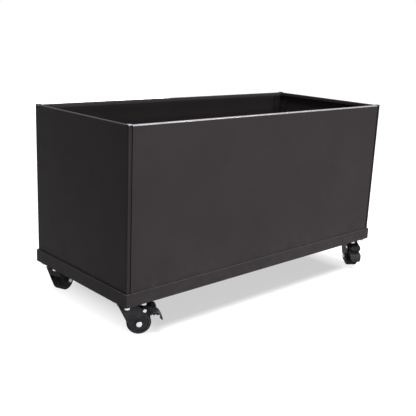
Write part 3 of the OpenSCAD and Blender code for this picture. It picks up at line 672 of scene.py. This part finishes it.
def ring(node, profile, centre, axle, steps):
    """A closed (radius, offset) profile swept round an axle by the lathe tree."""
    radius = max(r for r, _ in profile)
    count = len(profile)
    outline = [(r - radius, offset, 0.0) for r, offset in profile]
    mesh = bpy.data.meshes.new("piece_" + node)
    mesh.from_pydata(outline, [(i, (i + 1) % count) for i in range(count)], [])
    obj = linked("piece_" + node, mesh)
    values = {"Radius": radius, "Steps": steps, "Axle": axle, "Centre": centre, "Material": finish_of(node)}
    tree_named("lathe", lathe_tree).run(obj, values)
    bm = bmesh.new()
    bm.from_mesh(obj.data)
    bmesh.ops.remove_doubles(bm, verts=bm.verts, dist=0.0001 * MM)
    bmesh.ops.recalc_face_normals(bm, faces=bm.faces)
    for face in bm.faces:
        face.smooth = True
    bm.to_mesh(obj.data)
    bm.free()
    obj.data.set_sharp_from_angle(angle=math.radians(38.0))
    return obj


def hexagon(bm, radius, low, high, chamfer):
    """A hexagonal prism with its outer corners chamfered at the top."""
    slope = 1.6
    corners = [
        (radius * math.cos(math.radians(60 * i)), radius * math.sin(math.radians(60 * i))) for i in range(6)
    ]
    rings = []
    for z, scale in ((low, 1.0), (high - chamfer, 1.0), (high, 1.0 - slope * chamfer / radius)):
        rings.append([bm.verts.new((x * scale, y * scale, z)) for x, y in corners])
    for a, b in zip(rings, rings[1:]):
        for i in range(6):
            bm.faces.new((a[i], a[(i + 1) % 6], b[(i + 1) % 6], b[i]))
    bm.faces.new(rings[-1])
    bm.faces.new(list(reversed(rings[0])))


def rounded_turning(bm, profile, steps):
    """Turns an open (radius, height) profile, which starts and ends on the axis, round Z."""
    rings = []
    for radius, z in profile:
        if radius <= 1e-9:
            rings.append([bm.verts.new((0.0, 0.0, z))])
        else:
            rings.append([
                bm.verts.new((radius * math.cos(2 * math.pi * i / steps),
                              radius * math.sin(2 * math.pi * i / steps), z))
                for i in range(steps)
            ])
    for a, b in zip(rings, rings[1:]):
        for i in range(steps):
            j = (i + 1) % steps
            if len(a) == 1:
                bm.faces.new((a[0], b[i], b[j]))
            elif len(b) == 1:
                bm.faces.new((a[i], a[j], b[0]))
            else:
                bm.faces.new((a[i], a[j], b[j], b[i]))


def thread(radius, low, high, pitch, depth):
    """The outline of a threaded end, as open (radius, height) points going up."""
    turns = max(1, int((high - low) / pitch))
    points = []
    for i in range(turns):
        z = low + (high - low) * i / turns
        points.append((radius - depth, z))
        points.append((radius, z + 0.5 * (high - low) / turns))
    points.append((radius - depth, high))
    return points


# ---- operators ----


class PLANTER_OT_panels(bpy.types.Operator):
    """Makes the four sheet panels of the box with their folded rims, and rounds their edges"""

    bl_idname = "planter.panels"
    bl_label = "Panels"

    return_deep = 11 * MM
    fold_deep = 4.6 * MM

    def execute(self, context):
        edge = context.scene.planter_sizes.sheet_edge
        painted_light_shares = context.scene.planter_wear
        for node in ("left_end_panel", "right_end_panel"):
            dress(node, edge, 2, 40.0)
        # painted light on the back rim's return, and a painted highlight along the front rim
        dress("back_panel", edge, 2, 40.0, lambda place, facing: self.back_return(painted_light_shares, place, facing))
        dress("front_panel", edge, 2, 40.0, lambda place, facing: self.front_rim(painted_light_shares, place, facing))
        return {"FINISHED"}

    def back_return(self, painted_light_shares, place, facing):
        """Painted light on the band that hangs down inside the box from the back rim."""
        into_box = facing.y < -0.5 and facing.z > -0.1
        return painted_light_shares.back_return if place.z > TOP - self.return_deep and into_box else 0.0

    def front_rim(self, painted_light_shares, place, facing):
        """Painted highlight on the front rim, brighter along its fold than on its flat."""
        if place.z <= TOP - self.fold_deep or facing.z < 0.1 or facing.y > 0.1:
            return 0.0
        return painted_light_shares.rim_flat if facing.z > 0.97 else painted_light_shares.rim_fold


class PLANTER_OT_posts(bpy.types.Operator):
    """Rounds the four corner posts and paints a highlight on the caps of the two front ones"""

    bl_idname = "planter.posts"
    bl_label = "Corner posts"

    cap_deep = 2.6 * MM

    def execute(self, context):
        edge = context.scene.planter_sizes.sheet_edge
        painted_light_shares = context.scene.planter_wear
        for node, share in (
            ("back_left_post", 0.0), ("back_right_post", 0.0),
            ("front_left_post", painted_light_shares.left_cap), ("front_right_post", painted_light_shares.right_cap),
        ):
            shape = merged(node)
            bmesh.ops.bisect_plane(
                shape, geom=shape.verts[:] + shape.edges[:] + shape.faces[:],
                plane_co=(0.0, 0.0, TOP - self.cap_deep), plane_no=(0.0, 0.0, 1.0),
            )
            # painted highlight on the caps of the front posts
            dress(node, edge, 2, 40.0, lambda place, facing: self.cap(share, place, facing), shape)
        return {"FINISHED"}

    def cap(self, share, place, facing):
        """Painted highlight on a post's top, where it looks up or to the front."""
        return share if place.z > TOP - self.cap_deep and max(facing.z, -facing.y) > 0.1 else 0.0


class PLANTER_OT_rivets(bpy.types.Operator):
    """Sets the domed rivets of the corners and of the floor"""

    bl_idname = "planter.rivets"
    bl_label = "Rivets"

    def execute(self, context):
        for node in ("corner_rivets", "floor_rivets"):
            boxes = islands(node)
            middle = sum(((low + high) / 2 for low, high in boxes), Vector()) / len(boxes)
            seats = [self.seat(low, high, middle) for low, high in boxes]
            low, high = boxes[-1]
            set_fasteners(node, seats, self.shape(min(high - low)))
        return {"FINISHED"}

    def seat(self, low, high, middle):
        """Where the top of a rivet's head lies and how it faces: up, or towards the rivets' middle."""
        size = high - low
        along = min(range(3), key=lambda i: size[i])
        place = (low + high) / 2
        axis = Vector()
        axis[along] = 1.0 if along == 2 or middle[along] > place[along] else -1.0
        place[along] = high[along] if axis[along] > 0 else low[along]
        return place, axis

    def shape(self, length):
        """A domed head with its mandrel's broken stub, top at zero, shank downwards."""
        head, rise = 4.5 * MM, 1.5 * MM
        stub_r, stub_low = 0.95 * MM, 0.55 * MM
        shank_r, foot, taper = 2.4 * MM, 2.0 * MM, 0.3 * MM
        dome = [
            (head * math.sin(math.radians(a)), rise * math.cos(math.radians(a)) - rise)
            for a in range(90, 10, -12)
        ]
        stub = [(stub_r, -0.10 * MM), (stub_r, -stub_low), (0.0, -stub_low)]
        shank = [(0.0, -length), (foot, -length), (shank_r, -length + taper), (shank_r, -rise)]
        bm = bmesh.new()
        rounded_turning(bm, shank + dome + stub, 20)
        bmesh.ops.recalc_face_normals(bm, faces=bm.faces)
        return new_object("rivet_shape", bm)


class PLANTER_OT_floor(bpy.types.Operator):
    """Makes the drained floor, its bearers and the rubber pads under the box"""

    bl_idname = "planter.floor"
    bl_label = "Floor"

    def execute(self, context):
        edge = context.scene.planter_sizes.sheet_edge
        dress("floor_panel", edge, 2, 50.0)
        dress("floor_bearers", edge)
        dress("support_pads", 1.2 * MM, 3)
        return {"FINISHED"}


class PLANTER_OT_tray(bpy.types.Operator):
    """Makes the tray with its hemmed lip, and the rails under it"""

    bl_idname = "planter.tray"
    bl_label = "Tray"

    def execute(self, context):
        share = context.scene.planter_wear.tray_lip
        lip = max(vert.co.z for vert in frame["nodes"]["base_tray"].data.vertices) - 0.8 * MM
        # painted highlight along the top of the tray's lip
        dress(
            "base_tray", 0.7 * MM, 3, 50.0,
            lambda place, facing: share if place.z > lip and facing.z > 0.4 else 0.0,
        )
        dress("tray_rails", 0.5 * MM)
        return {"FINISHED"}


class PLANTER_OT_fasteners(bpy.types.Operator):
    """Sets the bolts and nuts that hold the casters' plates, and the balls of their races"""

    bl_idname = "planter.fasteners"
    bl_label = "Plate bolts, nuts and balls"

    def execute(self, context):
        flats = context.scene.planter_sizes.nut_flats
        up = Vector((0.0, 0.0, 1.0))
        spin = 0.7  # radians from one bolt to the next
        tops, size = self.tops("caster_bolts", up)
        set_fasteners("caster_bolts", tops, self.bolt(size), spin)
        tops, size = self.tops("caster_nuts", -up)
        set_fasteners("caster_nuts", tops, self.nut(size, flats))
        boxes = islands("bearing_balls")
        low, high = boxes[0]
        spots = [((a + b) / 2, up) for a, b in boxes]
        set_fasteners("bearing_balls", spots, self.ball((high - low).z / 2))
        return {"FINISHED"}

    def tops(self, node, axis):
        """The middle of each solid's top with an axis, and the first solid's size."""
        boxes = islands(node)
        low, high = boxes[0]
        return [(Vector(((a.x + b.x) / 2, (a.y + b.y) / 2, b.z)), axis) for a, b in boxes], high - low

    def bolt(self, size):
        """A button head with a round socket, top at zero, and a threaded shank."""
        head, rise, shank = size.x / 2, 4.4 * MM, 4.0 * MM
        pitch, groove = 1.25 * MM, 0.45 * MM
        dome = [
            (head * math.sin(math.radians(a)), rise * math.cos(math.radians(a)) - rise)
            for a in range(90, 20, -10)
        ]
        socket = [(2.9 * MM, -0.25 * MM), (2.6 * MM, -2.3 * MM), (0.0, -2.6 * MM)]
        foot = [(0.0, -size.z), (shank - 0.6 * MM, -size.z)]
        turns = thread(shank, -size.z + 0.4 * MM, -rise - 2.0 * MM, pitch, groove)
        bm = bmesh.new()
        rounded_turning(bm, foot + turns + [(shank, -rise)] + dome + socket, 24)
        bmesh.ops.recalc_face_normals(bm, faces=bm.faces)
        return new_object("bolt_shape", bm)

    def nut(self, size, flats):
        """A flange nut with its flange at zero and its crown along +Z."""
        flange, edge, thick = size.x / 2, 0.9 * MM, 1.8 * MM
        bm = bmesh.new()
        rounded_turning(
            bm,
            [(0.0, 0.0), (flange - 0.2 * MM, 0.0), (flange, 0.25 * MM), (flange, edge),
             (flange - 1.2 * MM, 1.5 * MM), (5.0 * MM, thick), (0.0, thick)],
            24,
        )
        hexagon(bm, flats / math.sqrt(3.0), 1.4 * MM, size.z, 0.9 * MM)
        bmesh.ops.recalc_face_normals(bm, faces=bm.faces)
        return new_object("nut_shape", bm)

    def ball(self, radius):
        bm = bmesh.new()
        bmesh.ops.create_icosphere(bm, subdivisions=2, radius=radius)
        return new_object("ball_shape", bm)


class PLANTER_OT_swivels(bpy.types.Operator):
    """Makes the casters' plates, each with its ball track's disc underneath, and the king pins"""

    bl_idname = "planter.swivels"
    bl_label = "Swivel plates and king pins"

    def execute(self, context):
        edge = context.scene.planter_sizes.stamped_edge
        for caster in CASTERS:
            dress(caster + "_plate", edge, 2, 40.0)
        dress("king_pins", 0.8 * MM, 3)
        return {"FINISHED"}


class PLANTER_OT_forks(bpy.types.Operator):
    """Presses the forks, with a wide fold along the leading edge"""

    bl_idname = "planter.forks"
    bl_label = "Forks"

    def execute(self, context):
        sizes = context.scene.planter_sizes
        for caster in CASTERS:
            node = caster + "_fork"
            shape = merged(node)
            self.fold(shape, Swivel(caster), sizes.fork_fold)
            # painted shade: every fork but the front left takes the darker copy of the black coat
            finish = "pressed_black" if caster == "front_left" else "deep_black"
            dress(node, sizes.stamped_edge, 2, 42.0, shape=shape, finish=finish)
        return {"FINISHED"}

    def fold(self, bm, swivel, radius):
        """Rounds the two long edges where the leading web meets the cheeks."""
        near, long = 0.02 * MM, 12 * MM
        places = {vert: swivel.local(vert.co) for vert in bm.verts}
        outside = max(abs(place.y) for place in places.values() if place.z < swivel.axle.z)
        chosen = []
        for edge in bm.edges:
            a, b = (places[vert] for vert in edge.verts)
            on_cheek = all(abs(abs(place.y) - outside) < near for place in (a, b))
            leading = min(a.x, b.x) < 0.0 and abs(a.z - b.z) > long
            if on_cheek and leading and edge.calc_face_angle(0.0) > math.radians(45):
                chosen.append(edge)
        if not chosen:
            raise RuntimeError("a fork has no leading edge to round")
        bmesh.ops.bevel(
            bm, geom=chosen, offset=radius, segments=5, profile=0.5, affect="EDGES", clamp_overlap=True
        )


class PLANTER_OT_axles(bpy.types.Operator):
    """Makes the axle bolts, nuts, washers and sleeves"""

    bl_idname = "planter.axles"
    bl_label = "Axles"

    def execute(self, context):
        for caster in CASTERS:
            dress(caster + "_axle_bolt", 0.5 * MM, 2, 40.0)
            dress(caster + "_axle_nut", 0.5 * MM, 2, 40.0)
            dress(caster + "_axle_washers", 0.35 * MM, 2, 40.0)
            dress(caster + "_sleeve", 0.2 * MM, 1, 40.0)
        return {"FINISHED"}


class PLANTER_OT_wheels(bpy.types.Operator):
    """Turns the tyres and the moulded wheel cores"""

    bl_idname = "planter.wheels"
    bl_label = "Wheels"

    def execute(self, context):
        sizes = context.scene.planter_sizes
        share = context.scene.planter_wear.tyre_wall
        for caster in CASTERS:
            swivel = Swivel(caster)
            node = caster + "_tyre"
            profile = self.tyre(swivel.axle.z, self.width(node, swivel) / 2, sizes.tyre_shoulder)
            tyre = ring(node, profile, swivel.axle, swivel.across, sizes.lathe_steps)
            # painted highlight on a ring of each tyre wall
            paint_light_marks(tyre, lambda place, facing: share if self.in_highlight_ring(swivel, place, facing) else 0.0)
            settle(tyre, node)
            dress(caster + "_wheel_core", 0.8 * MM, 3, 40.0)
        return {"FINISHED"}

    def in_highlight_ring(self, swivel, place, facing):
        """Whether a face lies in the ring of each wall that runs from its groove to its shoulder, which takes a
        painted highlight.
        """
        away = place - swivel.axle
        radius = (away - swivel.across * away.dot(swivel.across)).length
        return 25.0 * MM < radius < 28.2 * MM and abs(facing.dot(swivel.across)) > 0.9

    def width(self, node, swivel):
        across = [swivel.local(vert.co).y for vert in frame["nodes"][node].data.vertices]
        return max(across) - min(across)

    def tyre(self, radius, half, shoulder):
        """A tyre's profile: a groove round each wall, round shoulders and a parting line on the tread."""
        inner, bore_edge = 23.05 * MM, 0.4 * MM
        groove, slope = 0.7 * MM, 0.4 * MM
        line_half, line_deep = 0.5 * MM, 0.12 * MM
        wall = [
            (inner, -half + bore_edge), (inner + bore_edge, -half), (inner + 1.7 * MM, -half),
            (inner + 1.7 * MM + slope, -half + groove), (inner + 3.4 * MM, -half + groove),
            (inner + 3.9 * MM, -half),
        ]
        corner = arc((radius - shoulder, -half + shoulder), shoulder, -90, 0, 8)
        line = [(radius, -line_half), (radius - line_deep, 0.0), (radius, line_half)]
        side = wall + corner
        return side + line + [(r, -offset) for r, offset in reversed(side)]


class PLANTER_OT_brakes(bpy.types.Operator):
    """Makes the brake pedals, their pins, shoes and leaf springs"""

    bl_idname = "planter.brakes"
    bl_label = "Brakes"

    def execute(self, context):
        sizes = context.scene.planter_sizes
        painted_light_shares = context.scene.planter_wear
        for caster in BRAKED:
            swivel = Swivel(caster)
            node = caster + "_pedal"
            shape = merged(node)
            self.round_bends(shape, sizes.pedal_bend)
            # painted shade from the darker copy of the black coat, and painted light on the tongue and bends
            dress(
                node, sizes.stamped_edge, 2, 38.0,
                lambda place, facing: self.painted_pedal_light(painted_light_shares, swivel.local(place), facing), shape, "deep_black",
            )
            dress(caster + "_pedal_pin", 0.6 * MM, 3)
            dress(caster + "_brake_shoe", 0.4 * MM)
            dress(caster + "_brake_spring", 0.2 * MM, 1)
        return {"FINISHED"}

    def round_bends(self, bm, radius):
        """Rounds the slight bends across the tongues, which are straight strips in the CAD."""
        long = 12 * MM
        bends = [
            edge for edge in bm.edges
            if edge.is_manifold and 6.0 < math.degrees(edge.calc_face_angle(0.0)) < 34.0
            and edge.calc_length() > long
        ]
        if not bends:
            raise RuntimeError("a pedal has no bends to round")
        bmesh.ops.bevel(
            bm, geom=bends, offset=radius, segments=3, profile=0.5, affect="EDGES", clamp_overlap=True
        )

    def painted_pedal_light(self, painted_light_shares, at, facing):
        """Painted light on the lower tongue's top, and painted highlights on the bent edges that face partly up.
        """
        lower_tongue = at.x > 52 * MM and at.z < 61 * MM
        if lower_tongue and facing.z > 0.0:
            return painted_light_shares.pedal_tongue * min(1.0, facing.z / 0.6)
        return painted_light_shares.pedal_edges if 0.3 < facing.z < 0.85 else 0.0


# where each lamp stands, and how wide and how high it is
LAMPS = {
    "front": ((0.0, -5.0, 0.84), (3.2, 1.1)),
    "top": ((-0.2, -0.5, 3.4), (1.8, 1.8)),
    "rim": ((1.77, -0.45, 2.8), (0.25, 0.25)),
    "back": ((2.4, 4.6, 0.27), (3.4, 0.5)),
}


class PLANTER_OT_stage(bpy.types.Operator):
    """Sets the pale floor, the lamps, the surrounding light and the camera"""

    bl_idname = "planter.stage"
    bl_label = "Stage"

    def execute(self, context):
        studio = context.scene.planter_studio
        self.floor(studio)
        self.surround(studio)
        for name, (place, size) in LAMPS.items():
            self.lamp(name + "_lamp", place, size, getattr(studio, name + "_power"))
        self.camera(studio)
        context.scene.view_settings.view_transform = "Standard"
        return {"FINISHED"}

    def floor(self, studio):
        """A pale floor. Its white glow is weaker in a soft rectangle, where the object's cast shadow shows;
        elsewhere the glow washes it out, so the shadow's outline is painted.
        """
        half = 12.0
        bm = bmesh.new()
        corners = ((-half, -half), (half, -half), (half, half), (-half, half))
        bm.faces.new([bm.verts.new((x, y, 0.0)) for x, y in corners])
        obj = new_object("floor", bm)
        g = Coat("studio_floor")
        clouds = g.band(g.noise(3.0, 4.0, 0.6), 0.3, 0.7, 0.0, 1.0)
        colour = g.mix(clouds, shade_of(studio.floor, 0.985), shade_of(studio.floor, 1.0))
        diffuse = g.add("ShaderNodeBsdfDiffuse", Color=colour)
        # painted shadow: the glow dims only in a soft rectangle round the tray, so the real cast shadow shows
        # there alone
        level = g.band(self.distance(g, studio.shadow_inset), 0.0, studio.cleared, studio.painted_shadow_glow, 1.0)
        glow = g.add("ShaderNodeEmission", Strength=g.math("MULTIPLY", g.seen_directly(), level))
        both = g.nodes.new("ShaderNodeAddShader")
        g.links.new(diffuse.outputs[0], both.inputs[0])
        g.links.new(glow.outputs[0], both.inputs[1])
        g.links.new(both.outputs[0], g.surface)
        obj.data.materials.append(g.material)

    def distance(self, g, inset):
        """How far a point of the floor lies outside the tray's outline, less an inset on each side."""
        low, high = CAD_BOX
        place = g.add("ShaderNodeSeparateXYZ", Vector=g.place)
        past = []
        for axis in (0, 1):
            middle = (low[axis] + high[axis]) / 2
            half = (high[axis] - low[axis]) / 2 - inset[axis]
            side = g.math("ABSOLUTE", g.math("SUBTRACT", place.outputs[axis], middle))
            past.append(g.math("MAXIMUM", g.math("SUBTRACT", side, half), 0.0))
        squares = g.math("ADD", g.math("POWER", past[0], 2.0), g.math("POWER", past[1], 2.0))
        return g.math("SQRT", squares)

    def surround(self, studio):
        """White surroundings, which light the object less strongly than they show."""
        world = bpy.data.worlds.new("studio")
        bpy.context.scene.world = world
        g = Graph(world, "ShaderNodeOutputWorld")
        strength = g.band(g.seen_directly(), 0.0, 1.0, studio.ambient, 1.0)
        sky = g.add("ShaderNodeBackground", Color=(1.0, 1.0, 1.0, 1.0), Strength=strength)
        g.links.new(sky.outputs[0], g.surface)

    def lamp(self, name, place, size, power):
        """A flat lamp that points at the middle of the box."""
        data = bpy.data.lights.new(name, "AREA")
        data.shape = "RECTANGLE"
        data.size, data.size_y = size
        data.energy = power
        obj = linked(name, data)
        obj.location = place
        aim = Vector((0.0, 0.0, 0.3)) - obj.location
        obj.rotation_euler = aim.to_track_quat("-Z", "Y").to_euler()

    def camera(self, studio):
        """The camera at the photograph's viewing angle."""
        a, e, r = studio.azimuth, studio.elevation, studio.roll
        back = Vector((math.sin(a) * math.cos(e), -math.cos(a) * math.cos(e), math.sin(e)))
        right = (-back).cross(Vector((0.0, 0.0, 1.0))).normalized()
        up = back.cross(right)
        tilted_right = right * math.cos(r) + up * math.sin(r)
        tilted_up = up * math.cos(r) - right * math.sin(r)
        turn = Matrix((tilted_right, tilted_up, back)).transposed()
        data = bpy.data.cameras.new("camera")
        data.sensor_width = 36.0
        data.lens = studio.lens
        obj = linked("camera", data)
        obj.matrix_world = Matrix.Translation(Vector(studio.camera_place)) @ turn.to_4x4()
        bpy.context.scene.camera = obj


STEPS = (
    PLANTER_OT_stage,
    PLANTER_OT_panels,
    PLANTER_OT_posts,
    PLANTER_OT_rivets,
    PLANTER_OT_floor,
    PLANTER_OT_tray,
    PLANTER_OT_fasteners,
    PLANTER_OT_swivels,
    PLANTER_OT_forks,
    PLANTER_OT_axles,
    PLANTER_OT_wheels,
    PLANTER_OT_brakes,
)


class PLANTER_PT_panel(bpy.types.Panel):
    """Lists the steps that dress the planter"""

    bl_label = "Rolling planter"
    bl_idname = "PLANTER_PT_panel"
    bl_space_type = "VIEW_3D"
    bl_region_type = "UI"
    bl_category = "Planter"

    def draw(self, context):
        for step in STEPS:
            self.layout.operator(step.bl_idname)
        for group in GROUPS:
            box = self.layout.box()
            values = getattr(context.scene, group)
            for name in values.__annotations__:
                box.prop(values, name)


GROUPS = {
    "planter_sizes": PlanterSizes,
    "planter_finish": PlanterFinish,
    "planter_wear": PlanterPaintedLight,
    "planter_studio": PlanterStudio,
}


def register():
    for group in GROUPS.values():
        bpy.utils.register_class(group)
    for step in STEPS:
        bpy.utils.register_class(step)
    bpy.utils.register_class(PLANTER_PT_panel)
    for name, group in GROUPS.items():
        setattr(bpy.types.Scene, name, PointerProperty(type=group))


def unregister():
    for name in GROUPS:
        delattr(bpy.types.Scene, name)
    bpy.utils.unregister_class(PLANTER_PT_panel)
    for step in reversed(STEPS):
        bpy.utils.unregister_class(step)
    for group in reversed(list(GROUPS.values())):
        bpy.utils.unregister_class(group)


def main():
    register()
    for step in STEPS:
        family, name = step.bl_idname.split(".")
        getattr(getattr(bpy.ops, family), name)()


if __name__ == "__main__":
    main()
